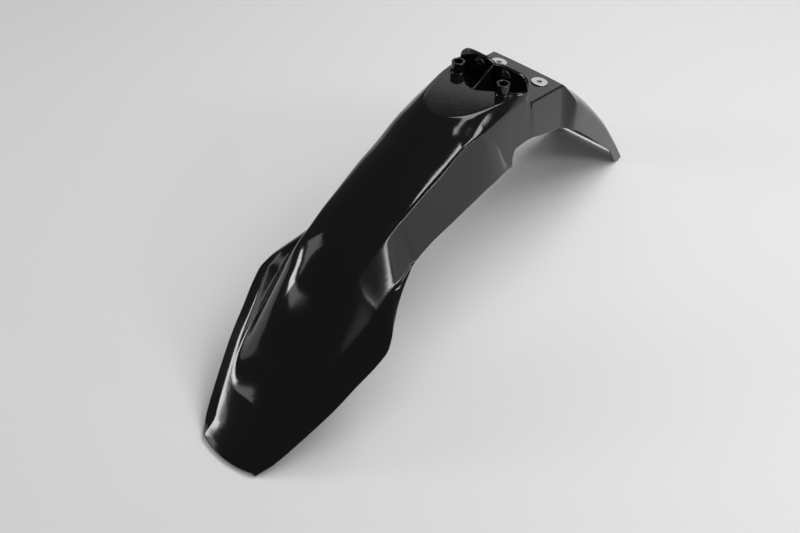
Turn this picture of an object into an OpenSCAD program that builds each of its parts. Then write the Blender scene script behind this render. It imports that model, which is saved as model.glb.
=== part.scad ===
// Front mudguard of an off-road motorbike.
// One moulded shell with a raised hood, two plug sockets, a two-lobed pocket
// and a bolt deck, and two flanged metal collars pressed into the deck.
// Stations are measured along Y from the two corners of the front lip,
// heights from the upper edge of those corners.

/* [Overall] */
// Station of the tail lip, measured from the corners of the front lip
tail_y = 782; // [760:1:830]
// How far the middle of the front lip stands ahead of its corners
lip_bow = 9; // [4:0.5:14]
// Thickness of the moulded wall
wall = 2.8; // [2:0.1:3.5]

/* [Front blade] */
// Width across the corners of the front lip
lip_w = 93.4; // [80:0.2:110]
// Width across the shoulders, the widest place
shoulder_w = 213; // [190:1:230]
// Station of the shoulders
shoulder_y = 172; // [160:1:185]
// Height of the shoulder edge
shoulder_z = 122; // [105:1:140]
// Depth of the turned-down rim along the blade
rim_drop = 6; // [3:0.5:8]
// Width of the turned-down rim along the blade
rim_w = 18; // [10:1:22]
// Crown of the blade between its rims
blade_crown = 4; // [2:0.5:7]

/* [Hood] */
// Station where the raised hood starts
hood_y = 49; // [40:1:60]
// Half width of the hood where it meets the wings
hood_half_w = 74; // [66:1:78]
// Height of the hood over the shoulders, on the middle line
hood_z = 190.5; // [184:0.5:200]

/* [Neck] */
// Station of the waist, where the wings end
waist_y = 268; // [255:1:285]
// Width across the lower edges of the neck
neck_w = 136; // [130:1:142]
// How far the neck's lower edge flares out beyond the plain wall of the block
side_flare = 7; // [0:0.5:9]
// Height of the lower edge at the waist
waist_z = 174; // [165:1:182]
// Station where the side skirts end
skirt_y = 462; // [440:1:472]
// Height of the lower edge of the skirts at their end
skirt_z = 195; // [188:1:202]
// Height of the step behind the skirts
notch_h = 21; // [12:1:26]
// Width across the top creases at the hood
crease_w = 92; // [84:1:98]
// Height of the top crease at the hood
crease_z = 206; // [198:1:212]
// Height of the top crease ahead of the deck
neck_crease_z = 276; // [272:0.5:280]
// Width across the top creases at the rear of the neck
neck_crease_w = 111; // [106:1:114]

/* [Pad] */
// Station of the front of the flat pad
pad_y = 378; // [370:1:386]
// Height of the front of the flat pad
pad_z = 297.5; // [294:0.5:301]
// Fall of the pad towards the tail in degrees
pad_tilt = 4; // [2:0.5:6]

/* [Pocket] */
// Station of the front of the pocket, on the middle line
pocket_y = 451; // [448:1:456]
// Station of the upright wall behind the pocket
back_y = 497; // [494:1:500]
// Depth of that wall along the mudguard
back_t = 10; // [9:0.5:11]
// Height of the top of its two lobes
lobe_z = 310.5; // [305:0.5:316]
// Width across the two lobes
lobe_w = 107; // [102:1:110]
// Thickness of the rib between the lobes
rib_t = 2.4; // [2:0.1:3.5]
// Distance between the round bosses on the back wall
boss_gap = 39.4; // [36:0.2:44]
// Diameter of these bosses
boss_d = 17; // [14:0.5:19]
// Height of their centres
boss_z = 295; // [292:0.5:297]

/* [Plug sockets] */
// Distance between the two sockets
socket_gap = 70; // [66:0.5:74]
// Station of the sockets
socket_y = 469.5; // [466:0.5:471]
// Outer diameter of a socket
socket_d = 17; // [15:0.5:18]
// Bore of a socket
socket_bore = 11; // [8:0.5:12]
// Height of a socket over the pad
socket_h = 14.5; // [10:0.5:20]

/* [Deck] */
// Station of the front of the bolt deck
deck_y = 509; // [508:0.5:512]
// Station of its rear edge
deck_end_y = 579; // [572:1:586]
// Height of its rear edge
deck_z = 253; // [248:1:258]
// Fall of the deck towards the tail in degrees
deck_tilt = 11; // [9:0.5:13]
// Width of the deck
deck_w = 114; // [110:1:118]
// Distance between the two bolt holes
bolt_gap = 65.4; // [56:0.2:72]
// Station of the bolt holes
bolt_y = 556; // [545:1:562]
// Clearance hole for the bolt
bolt_d = 6.5; // [6:0.1:8.5]

/* [Collars] */
// Diameter of the collar's flange
flange_d = 22; // [19:0.5:25]
// Thickness of the flange
flange_t = 1.6; // [1:0.1:2.5]
// Outer diameter of the collar's barrel
barrel_d = 10; // [9.5:0.1:12]
// Length of the barrel under the flange
barrel_h = 9; // [7:0.5:12]
// Gap around the barrel in its hole
fit_gap = 0.1; // [0.05:0.05:0.3]

/* [Tail] */
// Width across the tail behind the deck
tail_w = 141; // [132:1:148]
// Width across the tail lip
tail_lip_w = 120; // [110:1:130]
// Length of the flare between the deck and the tail's widest station
tail_flare = 18; // [12:1:27]
// Height of the tail's shoulder there
tail_start_z = 215; // [208:1:222]
// Crown of the tail over its shoulders
tail_crown = 25; // [18:1:32]
// Height of the tail's side at its widest station
tail_side = 42; // [34:1:48]

/* [Resolution] */
// Segments across the crown from the middle to the crease
crown_n = 8; // [6:1:9]

/* [Hidden] */
$fn = 64;

// The origin is under the middle of the mudguard
mid_y = (tail_y - lip_bow) / 2;
// The underside of the lip's corners just clears the ground
lip_rise = 0.85 * wall;
blade_slope = shoulder_z / shoulder_y;
pad_slope = tan(pad_tilt);
deck_slope = tan(deck_tilt);
wall_n = 4;
wing_n = 3;
rim_n = 2;
side_n = wall_n + wing_n + rim_n;
half_n = crown_n + side_n;
crease_y = 203;
hood_foot_z = blade_slope * hood_y + rim_drop + blade_crown;
// The pad runs on to the middle of the back wall, hidden inside it
pad_end_y = back_y + 2;
deck_start_y = back_y + 6;
tail_start_y = deck_end_y + tail_flare;
tail_side_z = tail_start_z - tail_side;
// Foot of the block's plain wall, and the station where that wall begins
plain_x = neck_w / 2 - 2.5;
block_y = skirt_y - 72;
tail_foot_y = tail_y - 11;

function mix(a, b, t) = a + (b - a) * t;
function clamp(t) = min(1, max(0, t));
function step(a, b, v) = let (t = clamp((v - a) / (b - a))) t * t * (3 - 2 * t);
function even(a, b, n) = [for (i = [0:n - 1]) mix(a, b, i / n)];
function pad(y) = pad_z - pad_slope * (y - pad_y);
function deck(y) = deck_z + deck_slope * (deck_end_y - y);

// Knots between two known places, as shares of the way and of the change
function along(ya, yb, a, b, shares) = [for (s = shares) [mix(ya, yb, s[0]), mix(a, b, s[1])]];

// Smooth curve through knots [station, value]
function secant(k, i) = (k[i + 1][1] - k[i][1]) / (k[i + 1][0] - k[i][0]);
function tangent(k, i) =
    i == 0 ? secant(k, 0) :
    i == len(k) - 1 ? secant(k, i - 1) :
    let (a = secant(k, i - 1), b = secant(k, i))
    a * b <= 0 ? 0 : 2 * a * b / (a + b);
function span(k, y, i = 0) = i >= len(k) - 2 || y < k[i + 1][0] ? i : span(k, y, i + 1);
function curve(k, y) =
    y <= k[0][0] ? k[0][1] + (y - k[0][0]) * secant(k, 0) :
    y >= k[len(k) - 1][0] ? k[len(k) - 1][1] + (y - k[len(k) - 1][0]) * secant(k, len(k) - 2) :
    let (i = span(k, y), h = k[i + 1][0] - k[i][0], t = (y - k[i][0]) / h)
    k[i][1] * (2 * t * t * t - 3 * t * t + 1) + tangent(k, i) * h * (t * t * t - 2 * t * t + t)
    + k[i + 1][1] * (3 * t * t - 2 * t * t * t) + tangent(k, i + 1) * h * (t * t * t - t * t);

// Half width of the outer edge
edge_x = concat(
    along(0, shoulder_y, lip_w / 2, shoulder_w / 2,
        [[0, 0], [0.05, 0.09], [0.105, 0.19], [0.31, 0.44], [0.59, 0.725], [0.75, 0.84], [0.9, 0.957], [1, 1]]),
    along(shoulder_y, waist_y, shoulder_w / 2, neck_w / 2,
        [[0.125, 0.09], [0.28, 0.3], [0.53, 0.61], [0.81, 0.87], [1, 1]]),
    along(waist_y, skirt_y, neck_w / 2 - 2, neck_w / 2 - 2 + side_flare,
        [[0.15, 0.39], [0.34, 0.74], [0.536, 0.96], [0.737, 1.06], [0.85, 0.83], [0.948, 0.31]]),
    [[skirt_y, plain_x]],
    [[skirt_y + 1, deck_w / 2 + 5], [deck_y, deck_w / 2 + 5.5], [deck_end_y - 7, deck_w / 2 + 7]],
    along(tail_start_y, tail_y, tail_w / 2, tail_lip_w / 2, [[0, 0], [0.2, 0.14], [0.5, 0.43], [1, 1]])
);

// Height of the outer edge
edge_z = concat(
    [[0, 0]],
    along(shoulder_y, waist_y, shoulder_z, waist_z, [[0, 0], [0.05, 0.06], [0.28, 0.385], [0.65, 0.75], [1, 1]]),
    along(waist_y, skirt_y, waist_z, skirt_z,
        [[0.15, 0.46], [0.34, 0.867], [0.536, 1.19], [0.737, 1.42], [0.85, 1.39], [0.948, 1.18], [1, 1]]),
    [for (s = [[1, 0.5], [3.5, 0.8], [8, 1.02]]) [skirt_y + s[0], skirt_z + notch_h * s[1]]],
    along(skirt_y + 1, tail_start_y, skirt_z + notch_h, tail_side_z,
        [[0.27, 0.05], [0.49, 0.3], [0.72, 0.56], [0.84, 0.7], [1, 1]]),
    along(tail_start_y, tail_foot_y, tail_side_z, -lip_rise, [[0.22, 0.19], [0.53, 0.49], [0.79, 0.75], [1, 1]]),
    [[tail_y, -lip_rise]]
);

// Half width of the top crease, and of the tail's shoulder behind the deck
crease_x = concat(
    [[hood_y, 20], [100, 38], [crease_y - 25, crease_w / 2]],
    along(crease_y, 455, crease_w / 2 - 1, neck_crease_w / 2,
        [[0, 0], [0.12, 0.08], [0.3, 0.29], [0.52, 0.44], [0.7, 0.6], [0.83, 0.9], [1, 1]]),
    [[back_y, neck_crease_w / 2], [deck_y, deck_w / 2], [deck_end_y - 7, deck_w / 2], [deck_end_y, deck_w / 2 + 1.5]],
    along(tail_start_y, tail_y, tail_w / 2, tail_lip_w / 2, [[0, 0], [0.29, 0.33], [0.56, 0.62], [1, 1]])
);

// Height of the top crease
crease_h = concat(
    [[hood_y, hood_foot_z - 4], [100, 0.43 * crease_z], [150, 0.786 * crease_z], [178, 0.927 * crease_z]],
    along(crease_y, 413, crease_z, neck_crease_z,
        [[0, 0], [0.15, 0.23], [0.25, 0.34], [0.46, 0.58], [0.62, 0.73], [0.76, 0.89], [0.84, 0.955], [1, 1]]),
    [[450, neck_crease_z + 3.5], [back_y - 2, neck_crease_z]],
    [[deck_start_y, deck(deck_start_y)], [deck_y, deck(deck_y)], [deck_end_y, deck_z]]
);

// Share of the side, from the top crease down, where it bends out from the plain wall
bend = concat(
    [[waist_y, 0.9], [330, 0.45], [block_y, 0.04]],
    along(block_y, skirt_y, 0, 1,
        [[0.15, 0.055], [0.27, 0.08], [0.4, 0.18], [0.54, 0.33], [0.62, 0.44], [0.7, 0.63], [0.814, 0.84], [1, 0.93]]),
    [[skirt_y + 20, 0.45], [tail_y, 0.45]]
);

// Height of the middle line, carried on over the pad to give its round corners
crown_h = concat(
    [[-lip_bow, rim_drop - 3], [20, blade_slope * 20 + rim_drop + blade_crown]],
    along(hood_y, shoulder_y, hood_foot_z, hood_z,
        [[0, 0], [0.21, 0.179], [0.415, 0.424], [0.62, 0.6625], [0.82, 0.86], [1, 1]]),
    along(shoulder_y, pad_y, hood_z, pad_z,
        [[0.03, 0.051], [0.15, 0.252], [0.38, 0.519], [0.62, 0.724], [0.84, 0.883], [1, 1]]),
    [for (s = [[30, 8.5], [60, 16.5], [87, 22.5], [119, 28.5]]) [pad_y + s[0], pad_z + s[1]]]
);

// Squareness of the crown
crown_q = [[0, 2], [200, 2.1], [pad_y, 2.3], [pad_y + 30, 2.6], [pad_y + 60, 2.6], [pad_y + 87, 3.3], [back_y, 3.6]];

// Half width of the foot of the hood on the wings
foot_x = concat(
    [[hood_y, 3]],
    [for (s = [[2, 0.34], [7, 0.58], [19, 0.73], [38, 0.84], [89, 0.946]]) [hood_y + s[0], hood_half_w * s[1]]],
    [[195, hood_half_w], [228, hood_half_w - 1.5], [waist_y, neck_w / 2 - 2], [300, neck_w / 2 - 3]]
);

// Height of the tail's shoulder and the crown over it
shoulder_h = along(tail_start_y, tail_y, tail_start_z, 3 - lip_rise,
    [[0, 0], [0.1, 0.08], [0.29, 0.25], [0.45, 0.4], [0.59, 0.535], [0.83, 0.8], [1, 1]]);
tail_h = along(tail_start_y, tail_y, 0, tail_crown, [[0, 0.8], [0.25, 1], [0.6, 1], [1, 0.5]]);

// Wings of the front blade with their turned-down rim
function rim(y) = max(4, mix((rim_w - 1) * step(-lip_bow, 20, y), 8, step(150, 200, y)));
function wing(x, y) =
    let (e = curve(edge_x, y), z = curve(edge_z, y), w = rim(y), i = e - w, a = abs(x))
    a <= i ? z + rim_drop + blade_crown * (1 - (a / i) * (a / i)) : z + rim_drop * (e - a) / w;

// The hood rises out of the wings and gains its creases behind the shoulders
function soft_hood(x, y) =
    let (w = wing(x, y), t = clamp(abs(x) / curve(foot_x, y)))
    y <= hood_y ? w : w + (curve(crown_h, y) - wing(0, y)) * pow(1 - pow(t, 3.8), 1.4);
function creased_hood(x, y) =
    let (a = abs(x), k = curve(crease_x, y), h = curve(crease_h, y), f = curve(foot_x, y))
    a <= k ? h + (curve(crown_h, y) - h) * (1 - (a / k) * (a / k)) :
    a < f ? mix(h, wing(f, y), (a - k) / (f - k)) : wing(x, y);
function front_z(x, y) =
    y <= 150 ? soft_hood(x, y) : mix(soft_hood(x, y), creased_hood(x, y), step(150, 200, y));
function bowed(x, s) = s - lip_bow * (1 - pow(x / curve(edge_x, s), 2)) * (1 - step(0, 30, s));
function front_x(s, i) =
    let (
        e = curve(edge_x, s),
        f = s > 60 ? mix(0.75 * e, curve(foot_x, s), step(60, 150, s)) : 0.75 * e,
        k = mix(0.45 * e, curve(crease_x, max(s, 100)), step(60, 150, s)),
        r = e - min(rim(s) + 2, 0.6 * (e - f))
    )
    i < crown_n ? k * i / crown_n :
    i < crown_n + wall_n ? mix(k, f, (i - crown_n) / wall_n) :
    i < crown_n + wall_n + wing_n ? mix(f, r, (i - crown_n - wall_n) / wing_n) :
    mix(r, e, (i - crown_n - wall_n - wing_n) / rim_n);
function front_row(s) =
    [for (i = [0:half_n]) let (x = front_x(s, i), y = bowed(x, s)) [x, y, front_z(x, y)]];

// Neck with the pad and the deck cut flat into its crown
function crown_z(x, y) =
    let (k = curve(crease_x, y), h = curve(crease_h, y), top = curve(crown_h, y))
    y > pad_end_y ? deck(y) :
    min(h + (top - h) * (1 - pow(x / k, curve(crown_q, y))), y > pad_y ? pad(y) : top);
function side_rows(y, k, h) =
    let (
        e = curve(edge_x, y),
        z = curve(edge_z, y),
        plain = y > skirt_y ? 0 : step(330, block_y, y),
        t = curve(bend, y),
        x = mix(k, mix(e, plain_x, plain), t),
        g = mix(h, mix(z, skirt_z, plain), t)
    )
    [for (j = [0:side_n]) let (a = j / wall_n, b = (j - wall_n) / (side_n - wall_n))
        j < wall_n ? [mix(k, x, a), y, mix(h, g, a)] : [mix(x, e, b), y, mix(g, z, b)]];
function neck_row(y) =
    let (k = curve(crease_x, y), h = curve(crease_h, y))
    concat([for (i = [0:crown_n - 1]) let (x = k * i / crown_n) [x, y, crown_z(x, y)]], side_rows(y, k, h));

// Tail with a crown that swells over its shoulders
function tail_row(y) =
    let (
        k = curve(crease_x, y),
        t = clamp((y - deck_end_y) / (tail_start_y - deck_end_y)),
        h = t < 1 ? mix(deck_z, tail_start_z, t) : curve(shoulder_h, y),
        c = curve(tail_h, max(y, tail_start_y)) * t
    )
    concat([for (i = [0:crown_n - 1]) let (s = sin(90 * i / crown_n))
        [k * s, y, h + c * pow(1 - pow(s, 2.6), 1 / 2.6)]], side_rows(y, k, h));

stations = concat(
    even(0, hood_y, 6), even(hood_y, 100, 6), even(100, shoulder_y, 6), even(shoulder_y, waist_y, 8),
    even(waist_y, pad_y, 7), even(pad_y, skirt_y, 9), [skirt_y, skirt_y + 1, skirt_y + 3.5],
    even(skirt_y + 8, pad_end_y, 3),
    [pad_end_y], even(deck_start_y, deck_end_y, 4), even(deck_end_y, tail_start_y, 4),
    even(tail_start_y, tail_y, 12), [tail_y]
);
half_rows = [for (s = stations) s < waist_y ? front_row(s) : s <= deck_end_y ? neck_row(s) : tail_row(s)];
last_row = len(half_rows) - 1;

// Inner skin: each point moves square to the surface by the wall
function flat_dir(a, b) = let (d = [b[0] - a[0], b[2] - a[2]]) d / max(norm(d), 0.001);
function inner_point(r, i) =
    let (
        row = half_rows[r],
        p = row[i],
        next = flat_dir(p, row[min(i + 1, half_n)]),
        last = i == 0 ? [1, 0] : flat_dir(row[i - 1], p),
        a = i == 0 ? [1, 0] : i == half_n ? last : (last + next) / norm(last + next),
        mitre = i == 0 || i == half_n ? 1 : max(0.67, a * last),
        n = [-a[1], a[0]],
        q = half_rows[min(r + 1, last_row)][i],
        o = half_rows[max(r - 1, 0)][i],
        lean = (n[0] * (q[0] - o[0]) + n[1] * (q[2] - o[2])) / (q[1] - o[1]),
        d = wall * min(2, sqrt(1 + lean * lean)) / mitre
    )
    [max(0, p[0] - n[0] * d), p[1], max(-lip_rise, p[2] - n[1] * d)];
inner_rows = [for (r = [0:last_row]) [for (i = [0:half_n]) inner_point(r, i)]];

function whole(row) = concat(
    [for (i = [half_n:-1:1]) [-row[i][0], row[i][1], row[i][2]]],
    [for (i = [0:half_n]) row[i]]
);
side = 2 * half_n + 1;
skin = side * len(half_rows);
function at(r, i) = r * side + i;

// Two triangles between four points, folded alike on both sides
function fold(a, b, c, d, left) = left ? [[a, b, c], [a, c, d]] : [[a, b, d], [b, c, d]];
function quads(shift, turn) = [
    for (r = [0:last_row - 1])
        for (i = [0:side - 2])
            for (f = fold(at(r, i), at(r + 1, i), at(r + 1, i + 1), at(r, i + 1), i < half_n))
                turn ? [f[2] + shift, f[1] + shift, f[0] + shift] : f
];
function edge_quads(i, turn) = [
    for (r = [0:last_row - 1])
        for (f = fold(at(r, i), at(r, i) + skin, at(r + 1, i) + skin, at(r + 1, i), turn))
            turn ? [f[2], f[1], f[0]] : f
];
function end_quads(r, turn) = [
    for (i = [0:side - 2])
        for (f = fold(at(r, i), at(r, i + 1), at(r, i + 1) + skin, at(r, i) + skin, i < half_n))
            turn ? [f[2], f[1], f[0]] : f
];

module wall_loft() {
    polyhedron(
        points = concat([for (r = half_rows) each whole(r)], [for (r = inner_rows) each whole(r)]),
        faces = concat(
            quads(0, false), quads(skin, true),
            edge_quads(0, false), edge_quads(side - 1, true),
            end_quads(0, false), end_quads(last_row, true)
        ),
        convexity = 8
    );
}

// Outline given in Y and Z, as thick across as wanted
module side_prism(points, width, x = 0) {
    translate([x - width / 2, 0, 0])
        rotate([90, 0, 90])
            linear_extrude(width)
                polygon(points);
}

// Outline given in X and Z, reaching from one station to another
module cross_prism(points, from_y, to_y) {
    translate([0, to_y, 0])
        rotate([90, 0, 0])
            linear_extrude(to_y - from_y)
                polygon(points);
}

module both_sides() {
    children();
    mirror([1, 0, 0])
        children();
}

// Plan of the pocket: a broad V in front of the back wall
pocket_side = [[0, 0], [8, 1.5], [16.5, 7], [25, 14], [46, 29], [51, 35], [lobe_w / 2 - 1, 43]];
function pocket_plan(g) =
    let (
        half = [for (p = pocket_side) [p[0] == 0 ? 0 : p[0] + g, pocket_y + p[1] - g]],
        rear = [lobe_w / 2 - 1 + g, back_y + 1]
    )
    concat([for (p = half) p], [rear, [-rear[0], rear[1]]],
        [for (i = [len(half) - 1:-1:1]) [-half[i][0], half[i][1]]]);
function pocket_floor(y) = deck(y);

module pocket_body() {
    a = pocket_y - wall;
    b = back_y + 1;
    intersection() {
        translate([0, 0, 200])
            linear_extrude(150)
                polygon(pocket_plan(wall));
        side_prism([
            [a, pocket_floor(a) - wall], [b, pocket_floor(b) - wall],
            [b, pad(b) - 0.6], [a, pad(a) - 0.6]
        ], 130);
    }
}

module pocket_room() {
    a = pocket_y - 5;
    b = back_y;
    intersection() {
        translate([0, 0, 200])
            linear_extrude(150)
                polygon(pocket_plan(0));
        side_prism([[a, pocket_floor(a)], [b, pocket_floor(b)], [b, 340], [a, 340]], 130);
    }
}

module pocket_rib() {
    a = pocket_y - 1;
    b = back_y + 1;
    low = pocket_floor(b) - 1;
    side_prism([
        [a, low], [b, low], [b, lobe_z - 6.5], [b - 14, lobe_z - 11.3],
        [b - 28, lobe_z - 16.8], [a + 7, pad(a) - 3.4], [a, pad(a) - 2]
    ], rib_t);
}

// Back wall with two lobes, hollow from below
lobe_mid = 19;
function lobe_top(x, g) =
    x < lobe_mid ? lobe_z - g - 6.5 * pow((lobe_mid - x) / lobe_mid, 2) :
    let (w = lobe_w / 2 - lobe_mid - g, h = lobe_z - 275 - g)
    275 + h * pow(max(0, 1 - pow((x - lobe_mid) / w, 3.2)), 1 / 3.2);
function lobe_outline(g, low) =
    let (
        w = lobe_w / 2 - g,
        xs = concat(even(0, lobe_mid, 4), [for (i = [0:8]) lobe_mid + (w - lobe_mid) * sin(90 * i / 8)]),
        half = [for (x = xs) [x, lobe_top(x, g)]]
    )
    concat([[-w, low]], [for (i = [len(half) - 1:-1:1]) [-half[i][0], half[i][1]]], half, [[w, low]]);

module back_wall() {
    difference() {
        cross_prism(lobe_outline(0, 262), back_y, back_y + back_t);
        cross_prism(lobe_outline(wall, 255), back_y + wall, back_y + back_t - wall);
    }
}

module wall_boss() {
    translate([boss_gap / 2, back_y - 4, boss_z])
        rotate([-90, 0, 0])
            cylinder(d = boss_d, h = 5);
    translate([boss_gap / 2, back_y - 5.5, boss_z])
        rotate([-90, 0, 0])
            cylinder(d = boss_d / 2, h = 3);
}

module wall_boss_hole() {
    translate([boss_gap / 2, back_y - 6, boss_z])
        rotate([-90, 0, 0])
            cylinder(d = 4, h = 5);
}

// Everything on a socket stands square to the pad
module on_pad(x, y) {
    translate([x, y, pad(y)])
        rotate([-pad_tilt, 0, 0])
            children();
}

module socket_body() {
    on_pad(socket_gap / 2, socket_y) {
        translate([0, 0, -14])
            cylinder(d = socket_d, h = 14 + socket_h);
        translate([0, 0, -14])
            cylinder(d = socket_d + 2, h = 15);
    }
}

module socket_hole() {
    on_pad(socket_gap / 2, socket_y)
        translate([0, 0, -8])
            cylinder(d = socket_bore, h = 9 + socket_h);
}

module on_deck(x, y) {
    translate([x, y, deck(y)])
        rotate([-deck_tilt, 0, 0])
            children();
}

module deck_boss() {
    on_deck(bolt_gap / 2, bolt_y)
        translate([0, 0, -barrel_h])
            cylinder(d = barrel_d + 9, h = barrel_h - 1);
}

module deck_hole() {
    on_deck(bolt_gap / 2, bolt_y)
        translate([0, 0, -barrel_h - 5])
            cylinder(d = barrel_d + 2 * fit_gap, h = barrel_h + 10);
}

// Ribs under the deck tie the bosses to the sides and to each other
module deck_ribs() {
    on_deck(0, bolt_y)
        translate([-deck_w / 2, -rib_t / 2, -barrel_h])
            cube([deck_w, rib_t, barrel_h - 1]);
    for (x = [-bolt_gap / 2, bolt_gap / 2])
        on_deck(x, bolt_y)
            translate([-rib_t / 2, back_y + back_t - wall - bolt_y, -barrel_h])
                cube([rib_t, bolt_y - back_y - back_t + wall, barrel_h - 1]);
}

module placed() {
    translate([0, -mid_y, lip_rise])
        children();
}

module mudguard_shell() {
    color([0.05, 0.05, 0.055])
        placed()
            difference() {
                union() {
                    difference() {
                        union() {
                            wall_loft();
                            pocket_body();
                        }
                        pocket_room();
                    }
                    pocket_rib();
                    back_wall();
                    both_sides() {
                        wall_boss();
                        socket_body();
                        deck_boss();
                    }
                    deck_ribs();
                }
                both_sides() {
                    wall_boss_hole();
                    socket_hole();
                    deck_hole();
                }
            }
}

// Collar: a short tube with a wide flange that takes the bolt's load
module collar(x) {
    color([0.78, 0.79, 0.8])
        placed()
            on_deck(x, bolt_y)
                difference() {
                    union() {
                        cylinder(d = flange_d, h = flange_t);
                        translate([0, 0, -barrel_h])
                            cylinder(d = barrel_d, h = barrel_h + flange_t / 2);
                    }
                    translate([0, 0, -barrel_h - 1])
                        cylinder(d = bolt_d, h = barrel_h + flange_t + 2);
                }
}

module left_collar() {
    collar(-bolt_gap / 2);
}

module right_collar() {
    collar(bolt_gap / 2);
}

mudguard_shell();
left_collar();
right_collar();
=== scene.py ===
import math
import bpy
import bmesh
import numpy as np
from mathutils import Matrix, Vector


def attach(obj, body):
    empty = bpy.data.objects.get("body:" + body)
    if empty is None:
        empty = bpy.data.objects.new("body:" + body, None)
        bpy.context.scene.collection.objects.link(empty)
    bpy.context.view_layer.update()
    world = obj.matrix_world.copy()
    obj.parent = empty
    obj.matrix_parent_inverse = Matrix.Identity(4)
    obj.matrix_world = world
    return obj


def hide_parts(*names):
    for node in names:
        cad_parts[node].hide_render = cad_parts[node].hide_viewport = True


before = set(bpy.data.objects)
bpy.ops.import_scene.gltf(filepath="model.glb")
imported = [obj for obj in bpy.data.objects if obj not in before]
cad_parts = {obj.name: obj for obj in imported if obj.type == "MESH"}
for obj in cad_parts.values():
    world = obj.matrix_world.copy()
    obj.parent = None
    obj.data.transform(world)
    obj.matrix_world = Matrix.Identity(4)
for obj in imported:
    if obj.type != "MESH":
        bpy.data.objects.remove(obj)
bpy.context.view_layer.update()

# ---------------------------------------------------------------- sizes, mm
# The part source's own sizes, with y from the corners of the front lip and z from
# the upper edge of those corners. To match the photo, some forms differ from the
# source: the back wall and its lobes are thinner, lower and squarer, the tail ends
# nearly flat, the side wall runs on behind the step, the deck's side edges are
# rounder and have a slot at their front end, and the bosses have bevelled rings.
TAIL_Y, LIP_BOW, WALL = 782.0, 9.0, 2.8
LIP_W, SHOULDER_W, SHOULDER_Y, SHOULDER_Z = 93.4, 213.0, 172.0, 122.0
RIM_DROP, RIM_W, BLADE_CROWN = 6.0, 18.0, 4.0
HOOD_Y, HOOD_HALF_W, HOOD_Z = 49.0, 74.0, 190.5
WAIST_Y, NECK_W, WAIST_Z, SIDE_FLARE = 268.0, 136.0, 174.0, 7.0
SKIRT_Y, SKIRT_Z, NOTCH_H = 462.0, 195.0, 21.0
CREASE_W, CREASE_Z, NECK_CREASE_Z, NECK_CREASE_W = 92.0, 206.0, 276.0, 111.0
PAD_Y, PAD_Z, PAD_TILT = 378.0, 297.5, 4.0
POCKET_Y, BACK_Y, BACK_T, LOBE_Z, LOBE_W, RIB_T = 451.0, 497.0, 5.5, 306.5, 107.0, 2.4
RIB_Z = 310.5  # the source's lobe_z, from which the rib is measured
BOSS_GAP, BOSS_D, BOSS_Z = 39.4, 17.0, 295.0
SOCKET_GAP, SOCKET_Y, SOCKET_D, SOCKET_BORE, SOCKET_H = 70.0, 469.5, 17.0, 11.0, 14.5
DECK_Y, DECK_END_Y, DECK_Z, DECK_TILT, DECK_W = 509.0, 579.0, 253.0, 11.0, 114.0
BOLT_GAP, BOLT_Y, BOLT_D = 65.4, 556.0, 6.5
FLANGE_D, FLANGE_T, BARREL_D, BARREL_H = 22.0, 1.6, 10.0, 9.0
TAIL_W, TAIL_LIP_W, TAIL_START_Y, TAIL_START_Z = 141.0, 120.0, 597.0, 215.0
TAIL_CROWN, TAIL_SIDE = 25.0, 42.0

MID_Y = (TAIL_Y - LIP_BOW) / 2
RISE = 0.85 * WALL
BLADE_SLOPE = SHOULDER_Z / SHOULDER_Y
PAD_SLOPE = math.tan(math.radians(PAD_TILT))
DECK_SLOPE = math.tan(math.radians(DECK_TILT))
FOOT_Z = BLADE_SLOPE * HOOD_Y + RIM_DROP + BLADE_CROWN
PAD_END = BACK_Y + 2
DECK_START = BACK_Y + 6
TAIL_SIDE_Z = TAIL_START_Z - TAIL_SIDE
PLAIN_X = NECK_W / 2 - 2.5
BLOCK_Y = SKIRT_Y - 72
CREASE_Y = 203.0
SOFT_Y, CREASED_Y = 150, 200  # the hood is soft up to one and has its creases from the other
FOOT_START_Y = 60  # from here the sampling of a section turns to the hood's foot and creases
BOW_END_Y = 30  # the lip's bow is gone here
PLAIN_START_Y = 330  # from here to BLOCK_Y the side turns into the block's plain wall
TAIL_POWER = 2.6  # squareness of the tail's crown
LOBE_X, LOBE_FOOT_Z, LOBE_DIP, LOBE_POWER = 19, 275, 3.5, 4.5
FIT = 0.1  # gap around a collar's barrel
CHAMFER = 0.35  # edges of a collar
SLOT_IN, SLOT_OUT_X, SLOT_H = 2.2, 66, 7.5  # slot at the front end of each deck edge
SLOT_Y0, SLOT_Y1 = DECK_START + 0.4, DECK_START + 2.4
ROOM_LOW, ROOM_HIGH = 200.0, 340.0  # where the cutters of the pocket end
CROSS_RIB_GAP, CROSS_RIB_LEAN = 8, 1.7


def place(x, y, z):
    return (x / 1000, (y - MID_Y) / 1000, (z + RISE) / 1000)


def mix(a, b, t):
    return a + (b - a) * t


def clamp(t):
    return min(1.0, max(0.0, t))


def step(a, b, v):
    t = clamp((v - a) / (b - a))
    return t * t * (3 - 2 * t)


def pad(y):
    return PAD_Z - PAD_SLOPE * (y - PAD_Y)


def deck(y):
    return DECK_Z + DECK_SLOPE * (DECK_END_Y - y)


def along(ya, yb, a, b, shares):
    return [(mix(ya, yb, s), mix(a, b, t)) for s, t in shares]


def secant(k, i):
    return (k[i + 1][1] - k[i][1]) / (k[i + 1][0] - k[i][0])


def tangent(k, i):
    if i == 0:
        return secant(k, 0)
    if i == len(k) - 1:
        return secant(k, i - 1)
    a, b = secant(k, i - 1), secant(k, i)
    return 0.0 if a * b <= 0 else 2 * a * b / (a + b)


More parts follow.
